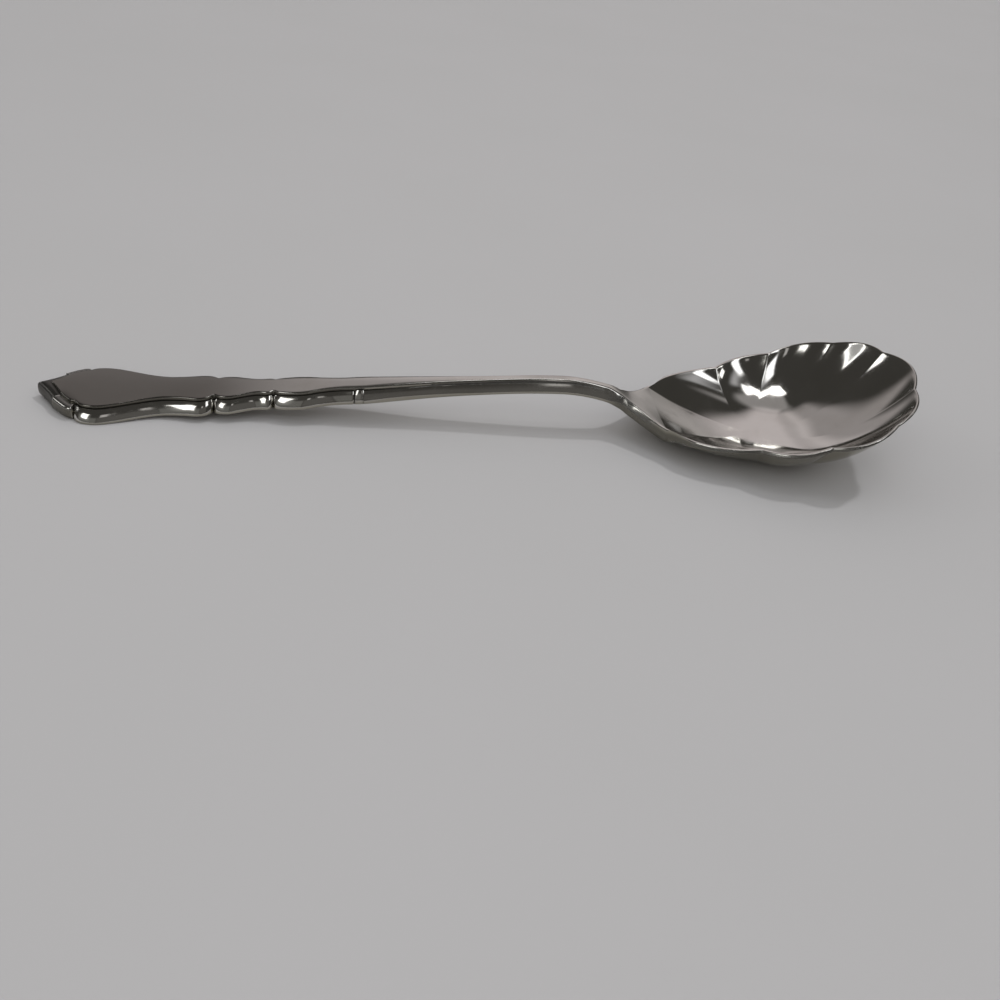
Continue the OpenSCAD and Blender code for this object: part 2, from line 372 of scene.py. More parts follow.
@dataclass(frozen=True)
class Lip:
    """Profile of an edge: a flat top, a crisp corner, a side that leans in and a rounded foot.

    Each knot holds three shares: of the way out to the corner, down the side, and back in below.
    """

    knots: tuple = ((0, 0, 0), (0.25, 0.002, 0), (0.48, 0.006, 0), (0.64, 0.016, 0), (0.71, 0.06, 0),
                    (0.765, 0.17, 0), (0.86, 0.42, 0), (0.945, 0.62, 0), (0.985, 0.75, 0.04), (1, 0.87, 0.2),
                    (1, 0.96, 0.55), (1, 1, 1))
    corner: int = 4
    # Painted shade on the side: how dark, how soon it comes in below the corner, and where and how far it
    # lightens towards the foot.
    dark: float = 0.55
    dark_in: float = 0.2
    foot_from: float = 0.7
    foot_light: float = 0.8

    def side_dark(self, side_n: int) -> np.ndarray:
        """How much painted shade the side gets, from its corner to its foot, standing in for the dark
        reflection of the shaded table; it lightens again near the foot.
        """
        j = np.arange(side_n + 1) / side_n
        return self.dark * smooth(j, 0, self.dark_in) * (1 - self.foot_light * smooth(j, self.foot_from, 1))

    def shares(self, top_n: int, side_n: int) -> np.ndarray:
        """Rows of the three shares: the top in a number of steps, and then the side in its own."""
        fine, corner = path(self.knots), self.corner * KNOT_STEPS
        return np.concatenate([resample(fine[:corner + 1], top_n), resample(fine[corner:], side_n)[1:]])

    def draw(self, start: np.ndarray, corner: np.ndarray, foot: np.ndarray, end: np.ndarray,
             top_n: int, side_n: int) -> list[np.ndarray]:
        """Points of the profile at one or more places.

        Args:
            start: where the flat top begins.
            corner: the outermost point at the top's height.
            foot: the point straight below the corner.
            end: where the underside begins.
            top_n: steps along the top.
            side_n: steps along the side.

        Returns:
            The points, place by place, in order from the start to the end.
        """
        return [start + a * (corner - start) + b * (foot - corner) + c * (end - foot)
                for a, b, c in self.shares(top_n, side_n)]


@dataclass
class SeamShape:
    """Section where the neck meets the bowl, shared by both, in millimetres."""

    half_w: float = 8.2
    edge_h: float = 5.4
    trough_d: float = 0.5
    neck_t: float = 3.0
    side_t: float = 2.0
    brim: float = 1.0
    lip: Lip = Lip()

    @property
    def inner_y(self) -> float:
        """Half width of the trough inside the brim."""
        return self.half_w - self.brim

    def across(self, y: Real) -> np.ndarray:
        """1 in the middle of the seam and 0 at its sides."""
        return 1 - (y / self.half_w) ** 2

    def top_z(self, y: Real) -> np.ndarray:
        """Height of the trough."""
        return self.edge_h - self.trough_d * self.across(y)

    def under_z(self, y: Real) -> np.ndarray:
        """Height of the underside."""
        belly = self.trough_d + self.neck_t - self.side_t
        return self.edge_h - self.side_t - belly * np.sqrt(np.maximum(0, self.across(y)))

    def brim_points(self) -> tuple[np.ndarray, ...]:
        """Works out the brim's profile at the seam.

        Returns:
            Its start, corner, foot and end, each across and up.
        """
        y, low = self.inner_y, self.under_z(self.inner_y)
        return (np.array([y, self.top_z(y)]), np.array([self.half_w, self.edge_h]),
                np.array([self.half_w, low]), np.array([y, low]))

    def half(self, top_n: int, brim_n: int, side_n: int, under_n: int) -> np.ndarray:
        """Half section from the middle of the top, round the side, to the middle below.

        Args:
            top_n: steps across the trough.
            brim_n: steps across the brim.
            side_n: steps down the side.
            under_n: steps below.

        Returns:
            Points across and up.
        """
        y = np.linspace(0, self.inner_y, top_n + 1)
        top = np.stack([y, self.top_z(y)], 1)
        side = np.array(self.lip.draw(*self.brim_points(), brim_n, side_n))
        y = np.linspace(self.inner_y, 0, under_n + 1)
        under = np.stack([y, self.under_z(y)], 1)
        return np.concatenate([top, side[1:], under[1:]])


# Bowl


@dataclass
class Bowl:
    """Scalloped shell bowl: sizes in millimetres, and its mesh."""

    line: SpoonLine
    seam: SeamShape
    width: float = 34.8
    rim_tip_h: float = 17.4
    floor_h: float = 1.1
    wall_t: float = 1.3
    tip_t: float = 0.6
    scallop_d: float = 2.0
    ridge_r: float = 0.22
    lip_share: float = 0.6
    lip_out: float = 0.12
    rings_n: int = 64
    under_n: int = 40
    lip_top_n: int = 7
    lip_side_n: int = 14
    seam_n: int = 36
    corner_n: int = 26
    notch_shares: tuple = ((0, 0), (0.33, 0.733), (0.573, 1), (0.824, 0.791), (0.955, -0.128))
    scallop_shares: tuple = (0.87, 0.79, 1.03, 0.77, 1.02, 0.77, 1.03, 0.79, 0.87)
    scallop_n: tuple = (64, 40, 44, 40, 48, 40, 44, 40, 64)
    notch_crowd: float = 0.65
    centre_share: float = 0.43
    wall_powers: tuple = (2.72, 0.2, -0.32)
    flute_start: float = 0.42
    flute_power: float = 1.25
    flute_depth: float = 0.84
    thickness_shares: tuple = ((0, 1), (0.25, 0), (0.45, 0), (0.85, -1), (1, -1))
    lean_share: float = 0.82
    rim_thin: float = 0.72
    thin_from: float = 0.75
    ring_power: float = 0.85
    lip_power: int = 8
    seam_power: int = 4

    def __post_init__(self) -> None:
        """Works out the plan: the plain outline, the scalloped one and the seam."""
        x0, inner_y = self.line.bowl_x, self.seam.inner_y
        inner_l = self.line.bowl_l - self.tip_t * self.lean_share
        notches = [(x0 + p[0] * inner_l, mix(self.seam.half_w, self.width / 2, p[1]))
                   for p in self.notch_shares]
        knots = np.array(notches + [(p[0], -p[1]) for p in reversed(notches)])
        way = ways(knots)
        plain, scalloped, notch_at = [], [], []
        for i, count in enumerate(self.scallop_n):
            a, b = knots[i], knots[i + 1]
            d = b - a
            side = np.array([-d[1], d[0]]) / np.linalg.norm(d)
            notch_at.append(len(plain) - 1)
            for t in np.arange(count) / count:
                u = t - self.notch_crowd * math.sin(2 * math.pi * t) / (2 * math.pi)
                plain.append(blend(a, b, way[i], way[i + 1], u))
                bulge = self.scallop_shares[i] * self.scallop_d * 4 * u * (1 - u)
                scalloped.append(a + d * u + side * bulge)
        # The rim's first point would lie on the seam, so both outlines leave it out.
        brim = [(x0, y) for y in np.linspace(-inner_y, inner_y, self.seam_n + 1)]
        self.rim_n = len(plain) - 1
        self.plain = np.array(plain[1:] + brim)
        self.scalloped = soften(np.array(scalloped[1:] + brim), notch_at[1:], self.ridge_r, True)
        k = np.arange(len(self.plain))
        self.on_seam = k >= self.rim_n
        self.clear = smooth(np.minimum(k + 1, self.rim_n - k) / self.corner_n)
        self.side = np.where(self.plain[:, 1] > 0, 1.0, -1.0)
        self.centre = np.array([x0 + self.centre_share * self.line.bowl_l, 0.0])
        angle = np.arctan2(self.plain[:, 1], self.plain[:, 0] - self.centre[0])
        mean, ahead, across = self.wall_powers
        self.power = mean + ahead * np.cos(angle) + across * np.cos(2 * angle)

    def thickness(self, x: np.ndarray) -> np.ndarray:
        """Thickness of the wall at a place along the bowl."""
        u = np.clip(curve(self.thickness_shares, (x - self.line.bowl_x) / self.line.bowl_l), -1, 1)
        return np.where(u > 0, mix(self.wall_t, self.seam.side_t, u), mix(self.wall_t, self.tip_t, -u))

    def thinning(self, r: float) -> np.ndarray:
        """Where the wall thins towards the rim: 0 inside and by the seam, 1 at the rim."""
        return self.clear * smooth(r, self.thin_from, 1)

    def edge_h(self) -> np.ndarray:
        """Works out how high the edge is.

        Returns:
            The height of the rim or of the seam at each place.
        """
        share = np.maximum(0, (self.scalloped[:, 0] - self.line.bowl_x) / self.line.bowl_l)
        rim = mix(self.seam.edge_h, self.rim_tip_h, share ** 2)
        return np.where(self.on_seam, self.seam.top_z(self.scalloped[:, 1]), rim)

    def inner(self, r: float) -> np.ndarray:
        """Ring of the inside.

        Args:
            r: its share of the way from the middle out to the rim.

        Returns:
            Its points, in millimetres from the handle's end.
        """
        flute = smooth(r, self.flute_start, 1) ** self.flute_power
        flute *= mix(self.flute_depth, 1.0, r ** 4)
        plan = self.centre + r * (self.plain - self.centre) + flute * (self.scalloped - self.plain)
        z = mix(self.floor_h, self.edge_h(), r ** self.power)
        return np.column_stack([plan, z])

    def outer(self, r: float) -> np.ndarray:
        """Ring of the outside, the wall's thickness away from the inside.

        Args:
            r: its share of the way from the middle out to the rim.

        Returns:
            Its points, in millimetres from the handle's end.
        """
        out = self.plain - self.centre
        reach = np.linalg.norm(out, axis=1)
        climb = self.power * (self.edge_h() - self.floor_h) * r ** (self.power - 1) / reach
        t = self.thickness(mix(self.centre[0], self.scalloped[:, 0], r))
        t *= mix(1, self.rim_thin, self.thinning(r))
        away = np.column_stack([out * (climb / reach)[:, None], -np.ones(len(out))])
        wall = self.inner(r) + away * (t / np.sqrt(climb ** 2 + 1))[:, None]
        seam = np.column_stack([self.scalloped, self.seam.under_z(self.scalloped[:, 1])])
        wall[self.on_seam] = mix(wall, seam, r ** self.seam_power)[self.on_seam]
        wall[:, 2] = np.maximum(wall[:, 2], 0.0)
        return wall

    def beside(self, x: Real, point: np.ndarray) -> np.ndarray:
        """A point of the brim's profile for each place of the rim, on that place's side and at a given x."""
        every = np.ones(len(self.side))
        return np.column_stack([x * every, point[0] * self.side, point[1] * every])

    def rim_shifts(self) -> list[np.ndarray]:
        """Works out how far the walls' ends move in, to make room for the lip.

        Returns:
            The shift of the inner wall's end at each place, and that of the outer wall's.
        """
        walls = self.inner(1.0), self.outer(1.0)
        shift = np.zeros_like(walls[0])
        shift[:, :2] = -self.lip_share * (walls[1] - walls[0])[:, :2]
        start, _, _, end = self.seam.brim_points()
        first = np.where(self.side > 0, 0, self.rim_n - 1)
        shifts = []
        for wall, point in zip(walls, (start, end)):
            at_seam = self.beside(self.line.bowl_x, point) - wall[first]
            shifts.append(np.where(self.on_seam[:, None], 0.0, mix(at_seam, shift, self.clear[:, None])))
        return shifts

    def corners(self, start: np.ndarray, end: np.ndarray) -> list[np.ndarray]:
        """Corner and foot of the lip at each place, which meet the neck's at the seam.

        Args:
            start: where the inner wall ends.
            end: where the outer wall ends.

        Returns:
            The corner of the lip's top at each place, and the foot of its side.
        """
        corner = end.copy()
        corner[:, :2] += self.lip_out * (end - start)[:, :2]
        corner[:, 2] = start[:, 2]
        foot = corner.copy()
        foot[:, 2] = end[:, 2]
        _, seam_corner, seam_foot, _ = self.seam.brim_points()
        x = np.maximum(self.line.bowl_x, start[:, 0])
        inside = self.on_seam.copy()
        inside[[self.rim_n, -1]] = False
        out = []
        for points, at_seam, wall in ((corner, seam_corner, start), (foot, seam_foot, end)):
            points = mix(self.beside(x, at_seam), points, self.clear[:, None])
            out.append(np.where(inside[:, None], wall, points))
        return out

    def rings(self) -> list[np.ndarray]:
        """Works out the whole bowl.

        Returns:
            Rings from the middle of the inside, over the lip, to the middle of the underside.
        """
        walls = []
        drawn = (self.inner, self.rings_n), (self.outer, self.under_n)
        for (ring, count), shift in zip(drawn, self.rim_shifts()):
            steps = (np.arange(1, count + 1) / count) ** self.ring_power
            walls.append([ring(r) + shift * r ** self.lip_power for r in steps])
        inside, outside = walls
        start, end = inside[-1], outside[-1]
        lip = self.seam.lip.draw(start, *self.corners(start, end), end, self.lip_top_n, self.lip_side_n)
        rings = inside + lip[1:-1] + outside[::-1]
        first = len(inside) - 1
        for _ in range(2):
            soft = {i: (rings[i - 1] + 2 * rings[i] + rings[i + 1]) / 4
                    for i in (first - 1, first, first + 1)}
            for i, ring in soft.items():
                rings[i] = np.where(self.on_seam[:, None], rings[i], ring)
        for ring in rings:
            ring[:, 0] = self.line.from_end(ring[:, 0])
        return rings

    def build(self, name: str) -> bpy.types.Object:
        """Models the bowl.

        Args:
            name: the piece's name.

        Returns:
            The piece.
        """
        rings = self.rings()
        # Painted shade on the side of the lip, standing in for the dark reflection of the shaded table.
        dark = np.zeros((len(rings), len(self.plain)))
        first = self.rings_n - 1 + self.lip_top_n
        dark[first:first + self.lip_side_n + 1] = self.seam.lip.side_dark(self.lip_side_n)[:, None]
        return Bench.loft(name, rings, dark, End.POINT, 50)


# Handle, stem and neck sections


@dataclass
class HandleSection:
    """Half section of the bordered handle: the crowned panel, the groove with its painted shade and the
    rolled border.
    """

    crown: float = 0.3
    edge_r: float = 0.2
    edge_share: float = 0.4
    step: float = 0.5
    panel_n: int = 18
    step_n: int = 6
    roll_n: int = 30
    under_n: int = 8
    roll_shares: tuple = ((0, 0.94), (0.06, 0.915), (0.13, 0.925), (0.19, 0.985), (0.37, 0.885),
                          (0.58, 0.735), (0.76, 0.555), (0.88, 0.4), (0.96, 0.25), (1, 0.13),
                          (0.99, 0.055), (0.94, 0.012), (0.84, 0), (0.64, 0))
    band_shares: tuple = ((0, 1), (0.12, 1.01), (0.35, 1.035), (0.6, 1.03), (0.82, 0.98), (0.93, 0.88),
                          (0.985, 0.73), (1, 0.52), (0.99, 0.3), (0.96, 0.14), (0.89, 0.04), (0.8, 0.01),
                          (0.64, 0))
    roll_tall: float = 1.2
    # How far across the roll the groove's painted shade reaches.
    groove_end: float = 0.2

    def __post_init__(self) -> None:
        """Works out both rolls' points and the groove's painted shade once."""
        tall = np.array([1, self.roll_tall])
        self.rolls = []
        for knots in (self.roll_shares, self.band_shares):
            even = resample(path(knots) * tall, self.roll_n) / tall
            self.rolls.append(np.column_stack([np.clip(even[:, 0], 0, 1), np.maximum(even[:, 1], 0)]))
        # Painted shade in the groove, full by the panel and fading out across the roll's inner part.
        self.dark = np.clip(1 - (self.rolls[0][:, 0] / self.groove_end) ** 4, 0, 1)

    def roll(self, square: float = 0.0) -> np.ndarray:
        """Shares across and up, from the panel's side over the roll and under."""
        return mix(self.rolls[0], self.rolls[1], square)

    def panel_top(self, half_w: float, even_w: float, share: float = 1.0) -> np.ndarray:
        """Half of the panel's top, from its middle to the foot of its rounded edge.

        Args:
            half_w: its half width.
            even_w: half width that the crown is drawn for.
            share: share of the crown's full height.

        Returns:
            Points across and up.
        """
        r = min(self.edge_r, half_w * self.edge_share)
        turn = np.linspace(0, math.pi / 2, self.step_n + 1)[1:]
        y = np.concatenate([np.linspace(0, half_w - r, self.panel_n + 1), half_w - r + r * np.sin(turn)])
        drop = np.concatenate([np.zeros(self.panel_n + 1), r * (1 - np.cos(turn))])
        return np.stack([y, share * self.crown * (1 - (y / even_w) ** 2) - drop], 1)

    def whole(self, panel_half: float, half_w: float, thick: float) -> np.ndarray:
        """Half section of panel and border together.

        Args:
            panel_half: the panel's half width.
            half_w: the handle's half width.
            thick: how far down it reaches.

        Returns:
            Points across and up, heights measured from the panel's edge.
        """
        roll = self.roll()
        side = np.stack([mix(panel_half, half_w, roll[:, 0]), mix(-thick, -self.step, roll[:, 1])], 1)
        under_y = np.linspace(side[-1, 0], 0, self.under_n + 1)[1:]
        under = np.stack([under_y, np.full(self.under_n, -thick)], 1)
        return np.concatenate([self.panel_top(panel_half, panel_half), side, under])

    def groove_dark(self) -> np.ndarray:
        """How much painted shade the groove gets at each point of that half section."""
        return np.concatenate([np.zeros(self.panel_n + self.step_n + 1), self.dark, np.zeros(self.under_n)])

    def side_dark(self, lip: Lip) -> np.ndarray:
        """How much painted shade a lip's side gets at each point of a half section with as many points."""
        side = lip.side_dark(self.roll_n + 1)
        return np.concatenate([np.zeros(self.panel_n + self.step_n), side, np.zeros(self.under_n)])


@dataclass
class Stem:
    """Slim stem: its section is the handle's at one end and a bar with sloped sides at the other."""

    line: SpoonLine
    section: HandleSection
    width: float = 3.8
    thick: float = 2.7
    root_w: float = 6.35
    panel_root: float = 1.97
    rings_n: int = 150
    fade_share: float = 0.55
    spread: float = 0.2
    spread_start: float = 0.93
    # Painted shade settings: where the side darkens by the neck, and how the groove's dark line fades along
    # the stem.
    side_from: float = 0.92
    groove_to: float = 0.34375
    line_dark: float = 0.85
    line_to: float = 0.85
    width_shares: tuple = ((0, 1), (0.15, 0.56), (0.32, 0.18), (0.55, 0), (0.9, 0), (1, 0.1))
    bar_knots: tuple = ((0, 0), (0.2, 0.004), (0.33, 0.016), (0.41, 0.05), (0.48, 0.12), (0.6, 0.25),
                        (0.76, 0.42), (0.9, 0.58), (0.98, 0.7), (1, 0.79), (0.955, 0.875),
                        (0.82, 0.945), (0.56, 0.985), (0.28, 1), (0, 1))
    bar_marks: tuple = (0, 2, 4, 12, 14)
    bar_steps: int = 24

    def half_w(self, u: Real) -> Real:
        """Half width along the stem."""
        return mix(self.width, self.root_w, np.maximum(0, curve(self.width_shares, u))) / 2

    def bar(self, half_w: float, spread: float) -> np.ndarray:
        """Half section of the bar, with as many points in each zone as the handle's.

        Args:
            half_w: its half width.
            spread: how far its flat top has widened towards the neck.

        Returns:
            Points across and up, heights from the middle of the top.
        """
        fine = path(self.bar_knots, self.bar_steps)
        counts = (self.section.panel_n, self.section.step_n, self.section.roll_n + 1, self.section.under_n)
        rows = [fine[:1]]
        for a, b, count in zip(self.bar_marks[:-1], self.bar_marks[1:], counts):
            rows.append(resample(fine[a * self.bar_steps:b * self.bar_steps + 1], count)[1:])
        shares = np.concatenate(rows)
        y = shares[:, 0] + spread * 4 * shares[:, 0] * (1 - shares[:, 0])
        return np.stack([y * half_w, -shares[:, 1] * self.thick], 1)

    def half(self, u: float) -> np.ndarray:
        """Half section along the stem.

        Args:
            u: its share of the stem's length.

        Returns:
            Points across and up, heights from the line of the top.
        """
        half_w = self.half_w(u)
        bar = self.bar(half_w, self.spread * smooth(u, self.spread_start, 1))
        root = self.section.whole(half_w * self.panel_root / (self.root_w / 2), half_w, self.thick)
        return bar if u >= self.fade_share else mix(root, bar, smooth(u, 0, self.fade_share))

    def build(self, name: str) -> bpy.types.Object:
        """Models the stem.

        Args:
            name: the piece's name.

        Returns:
            The piece.
        """
        rings, dark = [], []
        painted_shade, side = self.section.groove_dark(), self.section.side_dark(Lip())
        for u in np.linspace(0, 1, self.rings_n + 1):
            rings.append(self.line.place(self.half(u), self.line.handle_l + u * self.line.stem_l))
            # Painted shade: the groove's dark line runs down most of the stem and fades out by the neck,
            # where the side darkens instead to meet the neck's.
            line = max(1 - smooth(u, 0, self.groove_to), self.line_dark * (1 - smooth(u, self.line_to, 1)))
            dark.append(mirrored(np.maximum(painted_shade * line, side * smooth(u, self.side_from, 1))))
        return Bench.loft(name, rings, dark)


@dataclass
class Neck:
    """Neck that flares from the stem's bar to the bowl's curved seam."""

    line: SpoonLine
    seam: SeamShape
    stem: Stem
    rings_n: int = 60
    spread_power: float = 1.7
    rise_power: float = 3.5
    join_share: float = 1 / 6
    # Painted shade over the highlights in the corner at the panel's edge: how dark, how many points wide, and
    # where it fades out along the neck.
    corner_dark: float = 0.6
    corner_reach: int = 5
    corner_from: float = 0.2
    corner_to: float = 0.45
    flare_shares: tuple = ((0, 0.248), (0.2, 0.354), (0.333, 0.43), (0.467, 0.535), (0.6, 0.648),
                           (0.733, 0.767), (0.867, 0.887), (1, 1))

    def build(self, name: str) -> bpy.types.Object:
        """Models the neck.

        Args:
            name: the piece's name.

        Returns:
            The piece.
        """
        section, seam = self.stem.section, self.seam
        start, wide = self.stem.half(1.0), self.stem.half_w(1.0)
        end = seam.half(section.panel_n, section.step_n, section.roll_n + 1, section.under_n)
        end[:, 1] -= seam.edge_h - seam.trough_d
        rings, dark = [], []
        side = section.side_dark(seam.lip)
        from_corner = np.abs(np.arange(len(side)) - section.panel_n - section.step_n)
        corner = np.where(from_corner < self.corner_reach, self.corner_dark, 0.0)
        for u in np.linspace(0, 1, self.rings_n + 1):
            # Painted shade: the lip's dark side all along, and a dark corner near the stem that hides
            # highlights and fades out along the neck.
            darkened = corner * (1 - smooth(u, self.corner_from, self.corner_to))
            dark.append(mirrored(np.maximum(side, darkened)))
            half_w = mix(wide, curve(self.flare_shares, u) * seam.half_w, smooth(u, 0, self.join_share))
            y = mix(start[:, 0] / wide, end[:, 0] / seam.half_w, 1 - (1 - u) ** self.spread_power) * half_w
            z = mix(start[:, 1], end[:, 1], u ** self.rise_power)
            rings.append(self.line.place(np.stack([y, z], 1), self.line.neck_x + u * self.line.neck_l))
        return Bench.loft(name, rings, dark)


# Handle


@dataclass
class Handle:
    """Bordered handle: its outline, panel, rolled borders, beads and end band, in millimetres."""

    line: SpoonLine
    section: HandleSection
    width: float = 16.7
    border_w: float = 1.9
    border_end_w: float = 1.2
    band_step: float = 0.2
    bead_l: float = 1.6
    bead_rise: float = 0.35
    bead_level: float = 0.4
    bead_bulge: float = 0.1
    bead_n: int = 24
    corner_r: float = 0.12
    band_share: float = 0.32
    per_span: int = 20
    pinch_l: float = 0.5
    pinch_in: float = 0.35
    pinch_down: float = 0.55
    # Painted shade in the notch where the border pinches in, from and to these pinch levels.
    pinch_dark: tuple = (0.3125, 0.9375)
    first_pinch: float = 0.4
    first_reach: float = 1.5
    clasp_rise: float = -0.12
    clasp_round: float = 0.4
    # How the clasps are painted: how dark their faces, and where their edges stay bright.
    clasp_dark: float = 0.62
    clasp_edge: float = 0.86
    clasp_edge_w: float = 0.12
    clasp_edge_up: float = 0.6
    # How dark the end band is painted, towards the tip and further in.
    band_dark: float = 0.85
    band_dark_in: float = 0.6
    band_dark_to: float = 0.5
    even_l: float = 4.0
    even_to: float = 0.88
    even_n: int = 400
    crown_l: float = 8.0
    # How dark the painted shade on the panel's edge gets.
    edge_dark: float = 0.8
    under_share: float = 0.9
    # Painted shade: a dark patch on the roll's inner part near the first cusp.
    knob_l: float = 1.6
    knob_share: float = 0.5
    knob_edge: float = 0.2
    knob_dark: float = 0.9
    knob_core: float = 1 / 3
    least_step: float = 0.04
    most_step: float = 0.36
    step_growth: float = 0.16
    end_shares: tuple = ((0, 0), (0.014, 0.105), (0.036, 0.27), (0.064, 0.52))
    ear_shares: tuple = ((0.064, 0.52), (0.082, 0.64), (0.103, 0.76), (0.121, 0.832), (0.137, 0.845))
    swell_shares: tuple = ((0.137, 0.845), (0.156, 0.952), (0.183, 1), (0.216, 0.99), (0.263, 0.898),
                           (0.334, 0.725), (0.385, 0.635), (0.42, 0.62), (0.466, 0.64), (0.506, 0.675),
                           (0.534, 0.635), (0.555, 0.53))
    waist_shares: tuple = ((0.555, 0.53), (0.578, 0.593), (0.609, 0.599), (0.643, 0.527), (0.677, 0.461),
                           (0.7, 0.449), (0.723, 0.467), (0.74, 0.407))
    tail_shares: tuple = ((0.74, 0.407), (0.763, 0.473), (0.811, 0.509), (0.849, 0.491), (0.887, 0.425),
                          (0.926, 0.383), (0.964, 0.371), (1, 0.38))

    def __post_init__(self) -> None:
        """Works out the outline of one side."""
        self.border_l = self.line.handle_l - self.bead_l
        scale = np.array([self.border_l, self.width / 2])
        tables = (self.end_shares, self.ear_shares, self.swell_shares, self.waist_shares, self.tail_shares)
        end, ear, *sides = (np.array(table, float) * scale for table in tables)
        self.cusp = ear[-1]
        self.band_path, _ = self.outline((end, ear), ())
        way = along(self.band_path)
        fold = way[np.argmin(np.linalg.norm(self.band_path - ear[0], axis=1))]
        near = rounded_end(np.minimum(way - fold, way[-1] - way), self.clasp_round)
        self.clasp = np.where(way < fold, 0.0, 1 - near)
        self.border_path, gaps = self.outline(sides, (0,))
        self.pinch = rounded_end(gaps, self.pinch_l)
        by_cusp = np.linalg.norm(self.border_path - self.cusp, axis=1) < self.first_reach * self.pinch_l
        self.pinch[by_cusp] *= self.first_pinch

    def outline(self, parts: Sequence[np.ndarray], starts: Sequence[int]) -> tuple[np.ndarray, np.ndarray]:
        """A path of smooth parts that meet at corners, with short steps there.

        Args:
            parts: the knots of each part.
            starts: places before the first corner that count as corners too.

        Returns:
            The path, and the distance of each of its points to the nearest corner.
        """
        paths = [path(part, self.per_span, part is parts[-1]) for part in parts]
        corners = [int(c) for c in np.cumsum([len(p) for p in paths])]
        rough = soften(np.concatenate(paths), corners[:-1], self.corner_r, False)
        marks = [*starts, *corners[:-1], len(rough) - 1]
        return graded(rough, marks, self.least_step, self.most_step, self.step_growth)

    def border_at(self, s: Real) -> Real:
        """Width of the border at a distance from the handle's end."""
        return mix(self.border_w, self.border_end_w, s / self.line.handle_l)

    def panel_edge(self, p: np.ndarray) -> np.ndarray:
        """Where the panel's edge is.

        Args:
            p: a point of the handle's outline.

        Returns:
            The point of the panel's edge that belongs to it.
        """
        s, y = p
        if s < self.cusp[0]:
            keep = 1 - self.border_at(self.cusp[0]) / self.cusp[1]
            return np.array([mix(self.band_share * self.cusp[0], self.cusp[0], s / self.cusp[0]), y * keep])
        return np.array([s, y - self.border_at(s)])

    def strip(self, edge: np.ndarray, out: np.ndarray, ledge: float, side: int,
              square: float = 0.0) -> np.ndarray:
        """Closed section of the border.

        Args:
            edge: the panel's edge there.
            out: the outline there.
            ledge: the border's height.
            side: 1 or -1, the side of the handle.
            square: 0 for the border's roll and 1 for the end band's squarer one.

        Returns:
            A ring of points.
        """
        rows = np.concatenate([self.section.roll(square), [[0.0, 0.0]]])
        plan = mix(edge, out, rows[:, :1])
        z = mix(self.line.under(edge[0]), ledge, rows[:, 1])
        return np.column_stack([self.line.from_end(plan[:, 0]), side * plan[:, 1], z])

    def border(self, side: int, name: str) -> bpy.types.Object:
        """Models a border, from the cusp to the bead, pinched in at each cusp.

        Args:
            side: 1 or -1, the side of the handle.
            name: the piece's name.

        Returns:
            The piece.
        """
        rings, dark = [], []
        # Painted shade: in the groove, in the pinched notches, in a dark patch on the roll's inner part by
        # the first cusp, and on the hidden closing point.
        inner = 1 - smooth(self.section.roll()[:, 0], self.knob_share, self.knob_share + self.knob_edge)
        for p, pinch in zip(self.border_path, self.pinch):
            e = self.panel_edge(p)
            ledge = self.line.top(e[0]) - self.section.step - self.pinch_down * pinch
            rings.append(self.strip(e, mix(p, e, self.pinch_in * pinch), ledge, side))
            knob = 1 - smooth(np.linalg.norm(p - self.cusp) / self.knob_l, self.knob_core, 1)
            row = np.maximum(self.section.dark, smooth(pinch, *self.pinch_dark))
            dark.append(np.append(np.maximum(row, self.knob_dark * inner * knob), 1.0))
        return Bench.loft(name, rings, dark)

    def bead(self, side: int, name: str) -> bpy.types.Object:
        """Models the half round bead that ends a border.

        Args:
            side: 1 or -1, the side of the handle.
            name: the piece's name.

        Returns:
            The piece.
        """
        root = self.border_path[-1]
        inner_y = self.panel_edge(root)[1]
        rings, dark = [], []
        for angle in np.linspace(0, np.pi, self.bead_n + 1):
            s = self.border_l + (1 - math.cos(angle)) / 2 * self.bead_l
            swell = math.sin(angle)
            ledge = self.line.top(s) - self.section.step + self.bead_rise * (swell - self.bead_level)
            out = np.array([s, root[1] + self.bead_bulge * (swell - 1)])
            rings.append(self.strip(np.array([s, inner_y]), out, ledge, side))
            # Painted shade at both ends of the bead, where it meets its neighbours, and in the groove.
            dark.append(np.append(np.maximum(self.section.dark, 1 - swell ** 0.5), 1.0))
        return Bench.loft(name, rings, dark)

    def clasp_values(self, clasp: float) -> np.ndarray:
        """How dark each point of the clasp's section is.

        Args:
            clasp: how much of a clasp the section is, from 0 to 1.

        Returns:
            Its values: the faces are dark and the edges stay bright.
        """
        across, up = self.section.roll(1.0).T
        outer = 1 - smooth(np.abs(across - self.clasp_edge), 0, self.clasp_edge_w)
        outer = outer * (up > self.clasp_edge_up)
        edge = np.maximum(outer, 1 - smooth(across, 0, self.clasp_edge_w))
        return self.clasp_dark * (1 - np.maximum(edge, 4 * clasp * (1 - clasp)))

    def end_band(self, name: str) -> bpy.types.Object:
        """Models the band round the handle's pointed end, with a clasp on either side.

        Args:
            name: the piece's name.

        Returns:
            The piece.
        """
        edges = [self.panel_edge(p) for p in self.band_path]
        edges[0] = np.array([edges[1][0], 0.0])
        last = len(edges) - 1
        rings, dark = [], []
        for side, i in [(-1, i) for i in range(last, -1, -1)] + [(1, i) for i in range(1, last + 1)]:
            edge, out, clasp = edges[i], self.band_path[i], self.clasp[i]
            near_end = 1 - out[0] / self.cusp[0]
            step = mix(self.section.step, self.band_step, near_end) - self.clasp_rise * clasp
            ledge = self.line.top(edge[0]) - step
            rings.append(self.strip(edge, out, ledge, side, min(1.0, near_end + clasp)))
